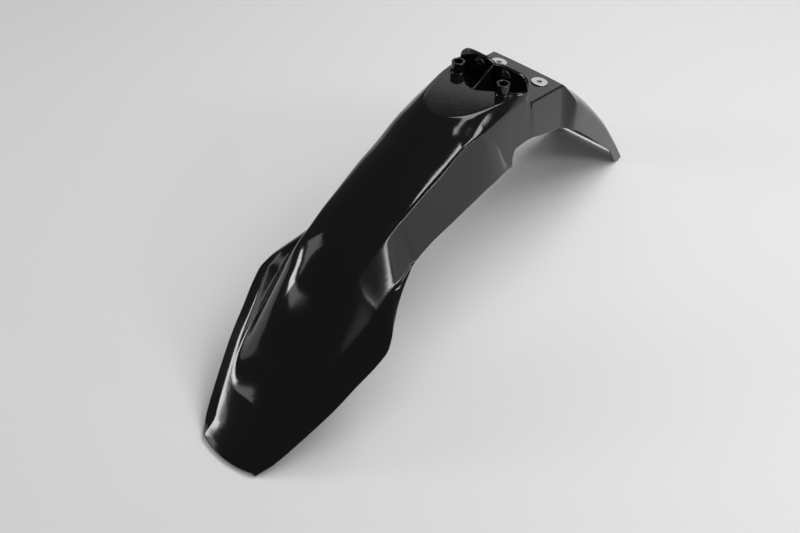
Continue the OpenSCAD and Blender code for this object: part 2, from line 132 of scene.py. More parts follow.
def curve(k, y):
    n = len(k)
    if y <= k[0][0]:
        return k[0][1] + (y - k[0][0]) * secant(k, 0)
    if y >= k[-1][0]:
        return k[-1][1] + (y - k[-1][0]) * secant(k, n - 2)
    i = 0
    while i < n - 2 and y >= k[i + 1][0]:
        i += 1
    h = k[i + 1][0] - k[i][0]
    t = (y - k[i][0]) / h
    return (k[i][1] * (2 * t ** 3 - 3 * t * t + 1)
            + tangent(k, i) * h * (t ** 3 - 2 * t * t + t)
            + k[i + 1][1] * (3 * t * t - 2 * t ** 3)
            + tangent(k, i + 1) * h * (t ** 3 - t * t))


EDGE_X = (
    along(0, SHOULDER_Y, LIP_W / 2, SHOULDER_W / 2,
          [(0, 0), (0.05, 0.09), (0.105, 0.19), (0.31, 0.44), (0.59, 0.725), (0.75, 0.84),
           (0.9, 0.957), (1, 1)])
    + along(SHOULDER_Y, WAIST_Y, SHOULDER_W / 2, NECK_W / 2,
            [(0.125, 0.09), (0.28, 0.3), (0.53, 0.61), (0.81, 0.87), (1, 1)])
    + along(WAIST_Y, SKIRT_Y, NECK_W / 2 - 2, NECK_W / 2 - 2 + SIDE_FLARE,
            [(0.15, 0.39), (0.34, 0.74), (0.536, 0.96), (0.737, 1.06), (0.85, 0.83),
             (0.948, 0.31)])
    + [(SKIRT_Y, PLAIN_X)]
    + [(SKIRT_Y + 1, DECK_W / 2 + 7.2), (SKIRT_Y + 3.5, DECK_W / 2 + 6.5),
       (SKIRT_Y + 8, DECK_W / 2 + 5.95)]
    + [(BACK_Y, DECK_W / 2 + 5.9), (DECK_Y, DECK_W / 2 + 6.4), (DECK_END_Y - 7, DECK_W / 2 + 7)]
    + along(TAIL_START_Y, TAIL_Y, TAIL_W / 2, TAIL_LIP_W / 2,
            [(0, 0), (0.2, 0.14), (0.5, 0.43), (1, 1)])
)
EDGE_Z = (
    [(0, 0)]
    + along(SHOULDER_Y, WAIST_Y, SHOULDER_Z, WAIST_Z,
            [(0, 0), (0.05, 0.06), (0.28, 0.385), (0.65, 0.75), (1, 1)])
    + along(WAIST_Y, SKIRT_Y, WAIST_Z, SKIRT_Z,
            [(0.15, 0.46), (0.34, 0.867), (0.536, 1.19), (0.737, 1.42), (0.85, 1.39),
             (0.948, 1.18), (1, 1)])
    + [(SKIRT_Y + s, SKIRT_Z + NOTCH_H * t) for s, t in [(1, 0.5), (3.5, 0.8), (8, 1.02)]]
    + along(SKIRT_Y + 1, TAIL_START_Y, SKIRT_Z + NOTCH_H, TAIL_SIDE_Z,
            [(0.27, 0.05), (0.49, 0.3), (0.72, 0.56), (0.84, 0.7), (1, 1)])
    + along(TAIL_START_Y, TAIL_Y - 11, TAIL_SIDE_Z, -RISE,
            [(0.22, 0.19), (0.53, 0.49), (0.79, 0.75), (1, 1)])
    + [(TAIL_Y, -RISE)]
)
CREASE_X = (
    [(HOOD_Y, 20), (100, 38), (CREASE_Y - 25, CREASE_W / 2)]
    + along(CREASE_Y, 455, CREASE_W / 2 - 1, NECK_CREASE_W / 2,
            [(0, 0), (0.12, 0.08), (0.3, 0.29), (0.52, 0.44), (0.7, 0.6), (0.83, 0.9),
             (1, 1)])
    + [(BACK_Y, NECK_CREASE_W / 2), (DECK_Y, DECK_W / 2), (DECK_END_Y - 7, DECK_W / 2),
       (DECK_END_Y, DECK_W / 2 + 1.5)]
    + along(TAIL_START_Y, TAIL_Y, TAIL_W / 2, TAIL_LIP_W / 2,
            [(0, 0), (0.29, 0.33), (0.56, 0.62), (1, 1)])
)
CREASE_H = (
    [(HOOD_Y, FOOT_Z - 4), (100, 0.43 * CREASE_Z), (150, 0.786 * CREASE_Z),
     (178, 0.927 * CREASE_Z)]
    + along(CREASE_Y, 413, CREASE_Z, NECK_CREASE_Z,
            [(0, 0), (0.15, 0.23), (0.25, 0.34), (0.46, 0.58), (0.62, 0.73), (0.76, 0.89),
             (0.84, 0.955), (1, 1)])
    + [(450, NECK_CREASE_Z + 3.5), (BACK_Y - 2, NECK_CREASE_Z)]
    + [(DECK_START, deck(DECK_START)), (DECK_Y, deck(DECK_Y)), (DECK_END_Y, DECK_Z)]
)
BEND = (
    [(WAIST_Y, 0.9), (330, 0.45), (BLOCK_Y, 0.04)]
    + along(BLOCK_Y, SKIRT_Y, 0, 1,
            [(0.15, 0.055), (0.27, 0.08), (0.4, 0.18), (0.54, 0.33), (0.62, 0.44),
             (0.7, 0.63), (0.814, 0.84), (1, 0.93)])
    + [(SKIRT_Y + 20, 0.45), (TAIL_Y, 0.45)]
)
CROWN_H = (
    [(-LIP_BOW, RIM_DROP - 3), (20, BLADE_SLOPE * 20 + RIM_DROP + BLADE_CROWN)]
    + along(HOOD_Y, SHOULDER_Y, FOOT_Z, HOOD_Z,
            [(0, 0), (0.21, 0.179), (0.415, 0.424), (0.62, 0.6625), (0.82, 0.86), (1, 1)])
    + along(SHOULDER_Y, PAD_Y, HOOD_Z, PAD_Z,
            [(0.03, 0.051), (0.15, 0.252), (0.38, 0.519), (0.62, 0.724), (0.84, 0.883), (1, 1)])
    + [(PAD_Y + s, PAD_Z + t) for s, t in [(30, 8.5), (60, 16.5), (87, 22.5), (119, 28.5)]]
)
CROWN_Q = [(0, 2), (200, 2.1), (PAD_Y, 2.3), (PAD_Y + 30, 2.6), (PAD_Y + 60, 2.6),
           (PAD_Y + 87, 3.3), (BACK_Y, 3.6)]
FOOT_X = (
    [(HOOD_Y, 3)]
    + [(HOOD_Y + s, HOOD_HALF_W * t)
       for s, t in [(2, 0.34), (7, 0.58), (19, 0.73), (38, 0.84), (89, 0.946)]]
    + [(195, HOOD_HALF_W), (228, HOOD_HALF_W - 1.5), (WAIST_Y, NECK_W / 2 - 2),
       (300, NECK_W / 2 - 3)]
)
SHOULDER_H = along(TAIL_START_Y, TAIL_Y, TAIL_START_Z, 3 - RISE,
                   [(0, 0), (0.1, 0.08), (0.29, 0.25), (0.45, 0.4), (0.59, 0.535), (0.83, 0.8),
                    (1, 1)])
TAIL_H = along(TAIL_START_Y, TAIL_Y, 0, TAIL_CROWN,
               [(0, 0.8), (0.25, 1), (0.5, 0.9), (0.75, 0.55), (1, 0.08)])


# ------------------------------------------------------- the shell's sections
def rim(y):
    return max(4.0, mix((RIM_W - 1) * step(-LIP_BOW, 20, y), 8, step(SOFT_Y, CREASED_Y, y)))


def wing(x, y):
    e, z, w = curve(EDGE_X, y), curve(EDGE_Z, y), rim(y)
    i, a = e - w, np.abs(x)
    return np.where(a <= i, z + RIM_DROP + BLADE_CROWN * (1 - (a / i) ** 2),
                    z + RIM_DROP * (e - a) / w)


def front_z(x, y):
    w = wing(x, y)
    c = curve(CROWN_H, y)
    soft = w
    if y > HOOD_Y:
        t = np.clip(np.abs(x) / curve(FOOT_X, y), 0, 1)
        soft = w + (c - float(wing(0.0, y))) * (1 - t ** 3.8) ** 1.4
    if y <= SOFT_Y:
        return soft
    a = np.abs(x)
    k, h, f = curve(CREASE_X, y), curve(CREASE_H, y), curve(FOOT_X, y)
    slant = mix(h, float(wing(f, y)), (a - k) / (f - k))
    hard = np.where(a <= k, h + (c - h) * (1 - (a / k) ** 2), np.where(a < f, slant, w))
    return mix(soft, hard, step(SOFT_Y, CREASED_Y, y))


N_CROWN, N_WALL, N_WING, N_RIM = 30, 16, 10, 7
N_SIDE = N_WALL + N_WING + N_RIM
N_HALF = N_CROWN + N_SIDE
# points of a half section before its corners are rounded: crown, foot, wing, rim, side
TOP_PTS, FOOT_PTS, WING_PTS, RIM_PTS, SIDE_PTS = 160, 160, 100, 60, 120
SOFTEN_GAP = 0.5  # gap between the points that the rounding works on
FOLD_PASSES, NORMAL_PASSES = 5, 6
EDGE_ROUND = 0.8  # rounding of a free edge, as a share of half the wall
# degrees around the shell's side edges, and around its front and rear end
RING_ANGLES = (36, 72, 108, 144)
CAP_ANGLES = (88, 60, 30, 0)


def side(y, k, h):
    """The side below the top crease: down the wall to its bend, then out to the edge."""
    e, z0 = curve(EDGE_X, y), curve(EDGE_Z, y)
    plain = 0.0 if y > SKIRT_Y else step(PLAIN_START_Y, BLOCK_Y, y)
    t = curve(BEND, y)
    x, g = mix(k, mix(e, PLAIN_X, plain), t), mix(h, mix(z0, SKIRT_Z, plain), t)
    u, v = np.linspace(0, 1, SIDE_PTS, endpoint=False), np.linspace(0, 1, SIDE_PTS + 1)
    return (np.concatenate([mix(k, x, u), mix(x, e, v)]),
            np.concatenate([mix(h, g, u), mix(g, z0, v)]))


SIDE_MARKS = np.concatenate([
    TOP_PTS + SIDE_PTS * np.arange(N_WALL) / N_WALL,
    TOP_PTS + SIDE_PTS + SIDE_PTS * np.arange(N_WING + N_RIM + 1) / (N_WING + N_RIM)])


def soften(pts, sigma):
    """Round the corners of a half section, a polyline from the middle to the edge."""
    d = np.hypot(np.diff(pts[:, 0]), np.diff(pts[:, 1]))
    s = np.concatenate([[0], np.cumsum(d)])
    n = max(40, int(s[-1] / SOFTEN_GAP))
    u = np.linspace(0, s[-1], n)
    du = u[1]
    x, z = np.interp(u, s, pts[:, 0]), np.interp(u, s, pts[:, 1])
    m = min(int(4 * sigma / du) + 1, n - 1)
    xe = np.concatenate([-x[m:0:-1], x, 2 * x[-1] - x[-2:-m - 2:-1]])
    ze = np.concatenate([z[m:0:-1], z, 2 * z[-1] - z[-2:-m - 2:-1]])
    k = np.exp(-0.5 * ((np.arange(-m, m + 1) * du) / sigma) ** 2)
    k /= k.sum()
    return s, u, np.convolve(xe, k, "valid"), np.convolve(ze, k, "valid")


def pick(pts, marks, sigma):
    """The rounded section's points at the places named by marks, in points of pts."""
    s, u, x, z = soften(pts, sigma)
    t = np.interp(marks, np.arange(len(s)), s)
    return np.interp(t, u, x), np.interp(t, u, z)


def ease(n, a, b):
    """n + 1 shares from 0 to 1, closer together near the ends by a and b."""
    t = np.linspace(0, 1, n + 1)
    w = 1 / (1 + a * np.exp(-t * 7) + b * np.exp(-(1 - t) * 7))
    w = np.concatenate([[0], np.cumsum((w[1:] + w[:-1]) / 2)])
    return w / w[-1]


def front_row(s):
    """Half section of the blade and the hood; near the lip it bows forward."""
    e, f0 = curve(EDGE_X, s), curve(FOOT_X, s)
    m = step(FOOT_START_Y, SOFT_Y, s)
    f = mix(0.75 * e, f0, m) if s > FOOT_START_Y else 0.75 * e
    k = mix(0.45 * e, curve(CREASE_X, max(s, 100)), m)
    r = e - min(rim(s), 0.6 * (e - f))

    def y_of(x):
        return s - LIP_BOW * (1 - (x / e) ** 2) * (1 - step(0, BOW_END_Y, s))

    xs = np.concatenate([np.linspace(0, k, TOP_PTS, endpoint=False),
                         np.linspace(k, f, FOOT_PTS, endpoint=False),
                         np.linspace(f, r, WING_PTS, endpoint=False),
                         np.linspace(r, e, RIM_PTS + 1)])
    if s < BOW_END_Y:
        zs = np.array([float(front_z(np.float64(x), y_of(x))) for x in xs])
    else:
        zs = front_z(xs, s)
    pts = np.stack([xs, zs], 1)
    marks = np.concatenate([
        TOP_PTS * ease(N_CROWN, 0, 2)[:-1],
        TOP_PTS + FOOT_PTS * ease(N_WALL, 2, 1)[:-1],
        TOP_PTS + FOOT_PTS + WING_PTS * ease(N_WING, 1, 1)[:-1],
        TOP_PTS + FOOT_PTS + WING_PTS + RIM_PTS * ease(N_RIM, 1, 0),
    ])
    x, z = pick(pts, marks, mix(1.2, 2.2, step(10, 60, s)))
    return [(x[i], y_of(x[i]), z[i]) for i in range(N_HALF + 1)]


def neck_row(y):
    """Half section of the neck, the pad and the deck."""
    k, h = curve(CREASE_X, y), curve(CREASE_H, y)
    xs = np.linspace(0, k, TOP_PTS, endpoint=False)
    if y > PAD_END:
        zs = np.full(TOP_PTS, deck(y))
    else:
        zs = h + (curve(CROWN_H, y) - h) * (1 - (xs / k) ** curve(CROWN_Q, y))
        if y > PAD_Y:
            zs = np.minimum(zs, pad(y))
    sx, sz = side(y, k, h)
    pts = np.stack([np.concatenate([xs, sx]), np.concatenate([zs, sz])], 1)
    marks = np.concatenate([TOP_PTS * ease(N_CROWN, 0, 2)[:-1], SIDE_MARKS])
    sigma = mix(2.2, 1.0, step(PAD_Y - 30, PAD_Y + 40, y))
    if y > PAD_END:
        sigma = mix(0.8, 1.6, step(DECK_START, DECK_Y, y))
    x, z = pick(pts, marks, sigma)
    return [(x[i], y, z[i]) for i in range(N_HALF + 1)]


def tail_row(y):
    """Half section of the flare behind the deck and of the tail."""
    k = curve(CREASE_X, y)
    t = clamp((y - DECK_END_Y) / (TAIL_START_Y - DECK_END_Y))
    h = mix(DECK_Z, TAIL_START_Z, t) if t < 1 else curve(SHOULDER_H, y)
    c = curve(TAIL_H, max(y, TAIL_START_Y)) * t
    a = np.sin(np.linspace(0, math.pi / 2, TOP_PTS + 1)[:-1])
    xs, zs = k * a, h + c * (1 - a ** TAIL_POWER) ** (1 / TAIL_POWER)
    sx, sz = side(y, k, h)
    pts = np.stack([np.concatenate([xs, sx]), np.concatenate([zs, sz])], 1)
    marks = np.concatenate([TOP_PTS * ease(N_CROWN, 0, 2)[:-1], SIDE_MARKS])
    x, z = pick(pts, marks, mix(1.6, 3.0, t))
    return [(x[i], y, z[i]) for i in range(N_HALF + 1)]


def spread(a, b, gap):
    n = max(1, int(round((b - a) / gap)))
    return [a + (b - a) * i / n for i in range(n)]


STATIONS = (
    spread(0, 12, 1.5) + spread(12, 60, 2.0) + spread(60, 200, 2.8) + spread(200, 370, 3.4)
    + spread(370, 400, 1.5) + spread(400, SKIRT_Y, 3.0) + [SKIRT_Y, SKIRT_Y + 0.7]
    + spread(SKIRT_Y + 1.7, SKIRT_Y + 9, 1.2) + spread(SKIRT_Y + 9, PAD_END, 2.8)
    + [PAD_END, DECK_START] + spread(DECK_START + 1, 565, 2.6)
    + spread(565, 612, 1.25) + spread(612, TAIL_Y, 3.2) + [TAIL_Y]
)


def shell_half():
    g = np.array([front_row(s) if s < WAIST_Y else neck_row(s) if s <= DECK_END_Y else tail_row(s)
                  for s in STATIONS])
    # the folds behind the deck are round along the mudguard too
    y = np.array(STATIONS)
    w = np.array([step(566, 571, v) * (1 - step(604, 610, v)) for v in y])[:, None, None]
    for _ in range(FOLD_PASSES):
        h = g.copy()
        h[1:-1] = (g[:-2] + 2 * g[1:-1] + g[2:]) / 4
        g = g + (h - g) * w
    return g


def normals(g):
    du = np.gradient(g, axis=1)
    dv = np.gradient(g, axis=0)
    n = np.cross(du, dv)
    return n / np.maximum(np.linalg.norm(n, axis=2, keepdims=True), 1e-9)


def shell_grids():
    """Points of the outer and of the inner skin, one row for each station."""
    half = shell_half()
    left = half[:, :0:-1].copy()
    left[:, :, 0] *= -1
    outer = np.concatenate([left, half], 1)
    soft = normals(outer)
    for _ in range(NORMAL_PASSES):
        p = soft.copy()
        p[:, 1:-1] = (soft[:, :-2] + 2 * soft[:, 1:-1] + soft[:, 2:]) / 4
        soft = p / np.linalg.norm(p, axis=2, keepdims=True)
    inner = outer - soft * WALL
    inner[:, :, 2] = np.maximum(inner[:, :, 2], -RISE)
    return outer, inner


# -------------------------------------------------------------- mesh helpers
def new_object(name, verts, faces, smooth=True):
    me = bpy.data.meshes.new(name)
    me.from_pydata([tuple(map(float, v)) for v in verts], [], faces)
    me.validate()
    me.update()
    if smooth:
        me.shade_smooth()
    ob = bpy.data.objects.new(name, me)
    bpy.context.scene.collection.objects.link(ob)
    return ob


def settle(ob, angle):
    """Apply the modifiers of an object to its mesh; edges over the angle stay sharp."""
    dg = bpy.context.evaluated_depsgraph_get()
    dg.update()
    me = bpy.data.meshes.new_from_object(ob.evaluated_get(dg))
    ob.modifiers.clear()
    ob.data = me
    me.shade_smooth()
    me.set_sharp_from_angle(angle=math.radians(angle))
    return ob


def cut(ob, cutters, angle):
    """Take the cutters out of an object and remove them from the scene."""
    for c in cutters:
        m = ob.modifiers.new("cut", "BOOLEAN")
        m.operation = "DIFFERENCE"
        m.solver = "EXACT"
        m.object = c
    settle(ob, angle)
    for c in cutters:
        bpy.data.objects.remove(c, do_unlink=True)
    return ob


def bevel(ob, width, segments=3, limit=30, angle=40):
    m = ob.modifiers.new("bevel", "BEVEL")
    m.width = width / 1000
    m.segments = segments
    m.limit_method = "ANGLE"
    m.angle_limit = math.radians(limit)
    m.use_clamp_overlap = True
    m.harden_normals = False
    return settle(ob, angle)


def prism(name, start, end):
    """Closed solid between two rings of points that match one another."""
    n = len(start)
    faces = [list(range(n))[::-1], list(range(n, 2 * n))]
    faces += [[i, (i + 1) % n, n + (i + 1) % n, n + i] for i in range(n)]
    return outward(new_object(name, start + end, faces, smooth=False))


def column(name, plan, low, high):
    """Upright solid on a plan, between two surfaces that depend on y only."""
    return prism(name, [place(x, y, low(y)) for x, y in plan],
                 [place(x, y, high(y)) for x, y in plan])


def across(name, outline, x0, x1):
    """Outline in y and z, reaching from x0 to x1."""
    return prism(name, [place(x0, y, z) for y, z in outline],
                 [place(x1, y, z) for y, z in outline])


def along_y(name, outline, y0, y1):
    """Outline in x and z, reaching from y0 to y1."""
    n = len(outline)
    verts = [place(x, y0, z) for x, z in outline] + [place(x, y1, z) for x, z in outline]
    faces = [list(range(n)), list(range(n, 2 * n))[::-1]]
    faces += [[i, n + i, n + (i + 1) % n, (i + 1) % n] for i in range(n)]
    return outward(new_object(name, verts, faces, smooth=False))


def outward(ob):
    """Turn all faces of a closed object outwards."""
    bm = bmesh.new()
    bm.from_mesh(ob.data)
    bmesh.ops.recalc_face_normals(bm, faces=bm.faces)
    bm.to_mesh(ob.data)
    bm.free()
    return ob


def lathe(name, profile, at, axis, count=72, angle=38):
    """Turned solid: profile of [radius, height] in mm around an axis at a place."""
    z = Vector(axis).normalized()
    x = z.orthogonal().normalized()
    y = z.cross(x)
    o = Vector(place(*at))
    verts, faces = [], []
    n = len(profile)
    for k in range(count):
        a = 2 * math.pi * k / count
        d = x * math.cos(a) + y * math.sin(a)
        for r, h in profile:
            verts.append(o + d * (r / 1000) + z * (h / 1000))
    for k in range(count):
        for i in range(n):
            j = (i + 1) % n
            a, b = k * n, ((k + 1) % count) * n
            faces.append([a + i, b + i, b + j, a + j])
    ob = new_object(name, verts, faces, smooth=True)
    bm = bmesh.new()
    bm.from_mesh(ob.data)
    bmesh.ops.remove_doubles(bm, verts=bm.verts, dist=1e-7)
    bmesh.ops.recalc_face_normals(bm, faces=bm.faces)
    bm.to_mesh(ob.data)
    bm.free()
    ob.data.shade_smooth()
    ob.data.set_sharp_from_angle(angle=math.radians(angle))
    return ob


def rod(name, points, radius, sides=10):
    """Round bead swept along points, with closed ends."""
    p = [Vector(place(*q)) for q in points]
    r = radius / 1000
    verts, faces = [], []
    for i, c in enumerate(p):
        t = (p[min(i + 1, len(p) - 1)] - p[max(i - 1, 0)]).normalized()
        u = t.cross(Vector((0, 0, 1)))
        u = u.normalized() if u.length > 1e-6 else Vector((1, 0, 0))
        v = u.cross(t).normalized()
        for k in range(sides):
            a = 2 * math.pi * k / sides
            verts.append(c + (u * math.cos(a) + v * math.sin(a)) * r)
    for i in range(len(p) - 1):
        for k in range(sides):
            a, b = i * sides, (i + 1) * sides
            m = (k + 1) % sides
            faces.append([a + k, a + m, b + m, b + k])
    faces.append(list(range(sides))[::-1])
    faces.append([(len(p) - 1) * sides + k for k in range(sides)])
    return outward(new_object(name, verts, faces))


def round_profile(points, radius, steps=4):
    """Round the corners of a closed profile of [radius, height]."""
    out = []
    n = len(points)
    for i in range(n):
        p = Vector(points[i])
        a, b = Vector(points[i - 1]) - p, Vector(points[(i + 1) % n]) - p
        r = min(radius, a.length * 0.45, b.length * 0.45)
        if r < 0.02 or points[i][0] < 0.01:
            out.append(tuple(p))
            continue
        s, e = p + a.normalized() * r, p + b.normalized() * r
        for k in range(steps + 1):
            t = k / steps
            q = s * (1 - t) ** 2 + p * (2 * t * (1 - t)) + e * t ** 2
            out.append((q.x, q.y))
    return out


PAD_UP = (0, math.sin(math.radians(PAD_TILT)), math.cos(math.radians(PAD_TILT)))
DECK_UP = (0, math.sin(math.radians(DECK_TILT)), math.cos(math.radians(DECK_TILT)))


# ------------------------------------------------------------------ the shell
def build_shell():
    outer, inner = shell_grids()
    n_rows, n_cols = outer.shape[:2]

    def loop(o, i):
        """Closed ring of points around one station, its two edges rounded."""
        half = (o - i) / 2
        top, low = o.copy(), i.copy()
        away, reach = [], []
        for end, beside in ((-1, -2), (0, 1)):
            d = o[end] - o[beside]
            away.append(d / max(np.linalg.norm(d), 1e-9))
            reach.append(np.linalg.norm(half[end]) * EDGE_ROUND)
        for k, end in enumerate((-1, 0)):
            top[end] -= away[k] * reach[k]
            low[end] -= away[k] * reach[k]

        def round_edge(k, end, angles):
            points = []
            for th in angles:
                c, s = math.cos(math.radians(th)), math.sin(math.radians(th))
                points.append((top[end] + low[end]) / 2 + half[end] * c + away[k] * reach[k] * s)
            return points

        return (list(top) + round_edge(0, -1, RING_ANGLES)
                + list(low[::-1]) + round_edge(1, 0, RING_ANGLES[::-1]))

    # the front and the rear end are rounded in the same way
    caps = []
    for end, beside in ((0, 1), (-1, -2)):
        d = outer[end] - outer[beside]
        t = d / np.maximum(np.linalg.norm(d, axis=1, keepdims=True), 1e-9)
        h = (outer[end] - inner[end]) / 2
        m = (outer[end] + inner[end]) / 2
        r = np.linalg.norm(h, axis=1, keepdims=True) * EDGE_ROUND
        base = m - t * r
        rows = []
        for th in CAP_ANGLES:
            c, s = math.cos(math.radians(th)), math.sin(math.radians(th))
            rows.append((base + h * c + t * r * s, base - h * c + t * r * s))
        caps.append(rows)
    rows = caps[0] + [(outer[k], inner[k]) for k in range(1, n_rows - 1)] + caps[1][::-1]
    loops = [loop(o, i) for o, i in rows]
    n = len(loops[0])
    verts = [place(p[0], p[1], max(p[2], -RISE)) for ring in loops for p in ring]
    faces = []
    for a in range(len(loops) - 1):
        for k in range(n):
            b = (k + 1) % n
            faces.append([a * n + k, (a + 1) * n + k, (a + 1) * n + b, a * n + b])
    # close both ends between the outer and the inner points
    n_edge = len(RING_ANGLES)
    for base in (0, (len(loops) - 1) * n):
        ring = [base + k for k in range(n)]
        top = ring[:n_cols]
        low = ring[n_cols + n_edge:2 * n_cols + n_edge][::-1]
        for k in range(n_cols - 1):
            f = [top[k], top[k + 1], low[k + 1], low[k]]
            faces.append(f if base == 0 else f[::-1])
        right = ring[n_cols:n_cols + n_edge]
        left = ring[2 * n_cols + n_edge:][::-1]
        fr = [top[-1]] + right + [low[-1]]
        fl = [top[0]] + left + [low[0]]
        faces.append(fr if base == 0 else fr[::-1])
        faces.append(fl[::-1] if base == 0 else fl)
    return outward(new_object("shell", verts, faces))


POCKET_SIDE = [(0, 0), (3, 0.2), (8, 1.6), (12, 4.2), (16.5, 7.2), (25, 14), (35.5, 21.5),
               (46, 29), (51, 35), (LOBE_W / 2 - 1, 43)]


def pocket_plan(g, rear):
    """The pocket's outline from above, larger by g, as far as y = rear."""
    half = [(x if x == 0 else x + g, POCKET_Y + y - g) for x, y in POCKET_SIDE]
    half.append((LOBE_W / 2 - 1 + g, rear))
    return half + [(-x, y) for x, y in half[:0:-1]]


def lobe_top(x):
    if x < LOBE_X:
        return LOBE_Z - LOBE_DIP * ((LOBE_X - x) / LOBE_X) ** 2
    w, h = LOBE_W / 2 - LOBE_X, LOBE_Z - LOBE_FOOT_Z
    return LOBE_FOOT_Z + h * max(0.0, 1 - ((x - LOBE_X) / w) ** LOBE_POWER) ** (1 / LOBE_POWER)


def lobe_outline(low):
    w = LOBE_W / 2
    xs = [LOBE_X * i / 10 for i in range(10)]
    xs += [LOBE_X + (w - LOBE_X) * math.sin(math.pi / 2 * i / 26) for i in range(27)]
    half = [(x, lobe_top(x)) for x in xs]
    return [(-w, low)] + [(-x, z) for x, z in half[:0:-1]] + half + [(w, low)]


pieces_plastic = []
pieces_metal = []

shell = build_shell()
cutters = [column("room", pocket_plan(0, BACK_Y + 4), lambda y: ROOM_LOW, lambda y: ROOM_HIGH)]
for hand in (-1, 1):
    rb = BARREL_D / 2 + FIT
    cutters.append(lathe("hole", [(0, -30), (rb, -30), (rb, 30), (0, 30)],
                         (hand * BOLT_GAP / 2, BOLT_Y, deck(BOLT_Y)), DECK_UP, count=48))
    x0, x1 = hand * (DECK_W / 2 - SLOT_IN), hand * SLOT_OUT_X
    cutters.append(column(
        "slot", [(x0, SLOT_Y0), (x1, SLOT_Y0), (x1, SLOT_Y1), (x0, SLOT_Y1)],
        lambda y: deck(y) - SLOT_H, lambda y: deck(y) + 3))
shell = cut(shell, cutters, angle=32)
pieces_plastic.append(shell)

# pocket under the pad
liner = column("pocket", pocket_plan(WALL, BACK_Y + 1),
               lambda y: deck(y) - WALL, lambda y: pad(y) - 0.7)
inside = column("inside", pocket_plan(0, BACK_Y + 3), deck, lambda y: ROOM_HIGH)
liner = cut(liner, [inside], angle=32)
liner = bevel(liner, 0.5, 2)
pieces_plastic.append(liner)

# soft edge around the pocket's mouth
edge = [(x, POCKET_Y + y, 0) for x, y in POCKET_SIDE]
edge = [(-x, y, 0) for x, y, _ in edge[:0:-1]] + edge
edge = [(x, y, pad(y) - 0.35) for x, y, _ in edge]
pieces_plastic.append(rod("pocket_edge", edge, 0.75))

# back wall with its two lobes
wall = along_y("back_wall", lobe_outline(263), BACK_Y, BACK_Y + BACK_T)
wall = bevel(wall, 1.3, 4, limit=50)
pieces_plastic.append(wall)

# rib between the lobes
a, b = POCKET_Y - 0.5, BACK_Y + 1
rib_line = [(a, deck(b) - 1), (b, deck(b) - 1), (b, RIB_Z - 6.2), (b - 7, RIB_Z - 8.6),
            (b - 14, RIB_Z - 11.3), (b - 21, RIB_Z - 14.0), (b - 28, RIB_Z - 16.8),
            (a + 7, pad(a) - 3.2), (a, pad(a) - 2)]
pieces_plastic.append(bevel(across("rib", rib_line, -RIB_T / 2, RIB_T / 2), 0.7, 3, limit=40))

for hand, tag in ((-1, "left"), (1, "right")):
    # round boss on the back wall
    rb = BOSS_D / 2
    prof = [(0, -2), (rb, -2), (rb, 2.4), (rb - 1.7, 4.1), (rb - 2.7, 4.1), (rb - 3.4, 3.0),
            (rb / 2 + 0.2, 3.0), (rb / 2, 4.4), (rb / 2 - 1.3, 5.7), (2.0, 5.7), (2.0, 1.5),
            (0, 1.5)]
    pieces_plastic.append(lathe(tag + "_boss", round_profile(prof, 0.7),
                                (hand * BOSS_GAP / 2, BACK_Y, BOSS_Z), (0, -1, 0)))
    # plug socket
    ro, ri = SOCKET_D / 2, SOCKET_BORE / 2
    prof = [(0, -8), (0, -14), (ro + 1, -14), (ro + 1, 0.9), (ro + 0.1, 1.9), (ro, SOCKET_H),
            (ri, SOCKET_H), (ri, -8)]
    pieces_plastic.append(lathe(tag + "_socket", round_profile(prof, 0.8),
                                (hand * SOCKET_GAP / 2, SOCKET_Y, pad(SOCKET_Y)), PAD_UP))
    # boss under the deck
    rb = BARREL_D / 2 + FIT
    x = hand * BOLT_GAP / 2
    prof = [(rb, -1.5), (rb + 4.5, -1.5), (rb + 4.4, -BARREL_H), (rb, -BARREL_H)]
    pieces_plastic.append(lathe(tag + "_deck_boss", round_profile(prof, 0.4),
                                (x, BOLT_Y, deck(BOLT_Y)), DECK_UP))
    y0, y1 = BACK_Y + BACK_T - WALL, BOLT_Y - 6
    pieces_plastic.append(bevel(across(tag + "_deck_rib", [
        (y0, deck(y0) - 1), (y1, deck(y1) - 1),
        (y1, deck(y1) - BARREL_H), (y0, deck(y0) - BARREL_H)],
        x - RIB_T / 2, x + RIB_T / 2), 0.4, 2))
    # flanged collar
    c = CHAMFER
    rf, rh = FLANGE_D / 2, BOLT_D / 2
    prof = [(rh, FLANGE_T - c), (rh + c, FLANGE_T), (rf - c, FLANGE_T), (rf, FLANGE_T - c),
            (rf, 0), (BARREL_D / 2, 0), (BARREL_D / 2, -BARREL_H + c),
            (BARREL_D / 2 - c, -BARREL_H), (rh + c, -BARREL_H), (rh, -BARREL_H + c)]
    col = lathe(tag + "_collar_turned", prof, (x, BOLT_Y, deck(BOLT_Y)), DECK_UP,
                count=96, angle=25)
    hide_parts(tag + "_collar")
    pieces_metal.append(col)

# ribs across the deck's underside, between and beside the bosses
y = BOLT_Y
for x0, x1 in ((-DECK_W / 2, -BOLT_GAP / 2 - CROSS_RIB_GAP),
               (-BOLT_GAP / 2 + CROSS_RIB_GAP, BOLT_GAP / 2 - CROSS_RIB_GAP),
               (BOLT_GAP / 2 + CROSS_RIB_GAP, DECK_W / 2)):
    pieces_plastic.append(bevel(across("cross_rib", [
        (y - RIB_T / 2, deck(y) - 1), (y + RIB_T / 2, deck(y) - 1),
        (y + RIB_T / 2 - CROSS_RIB_LEAN, deck(y) - BARREL_H),
        (y - RIB_T / 2 - CROSS_RIB_LEAN, deck(y) - BARREL_H)], x0, x1), 0.4, 2))


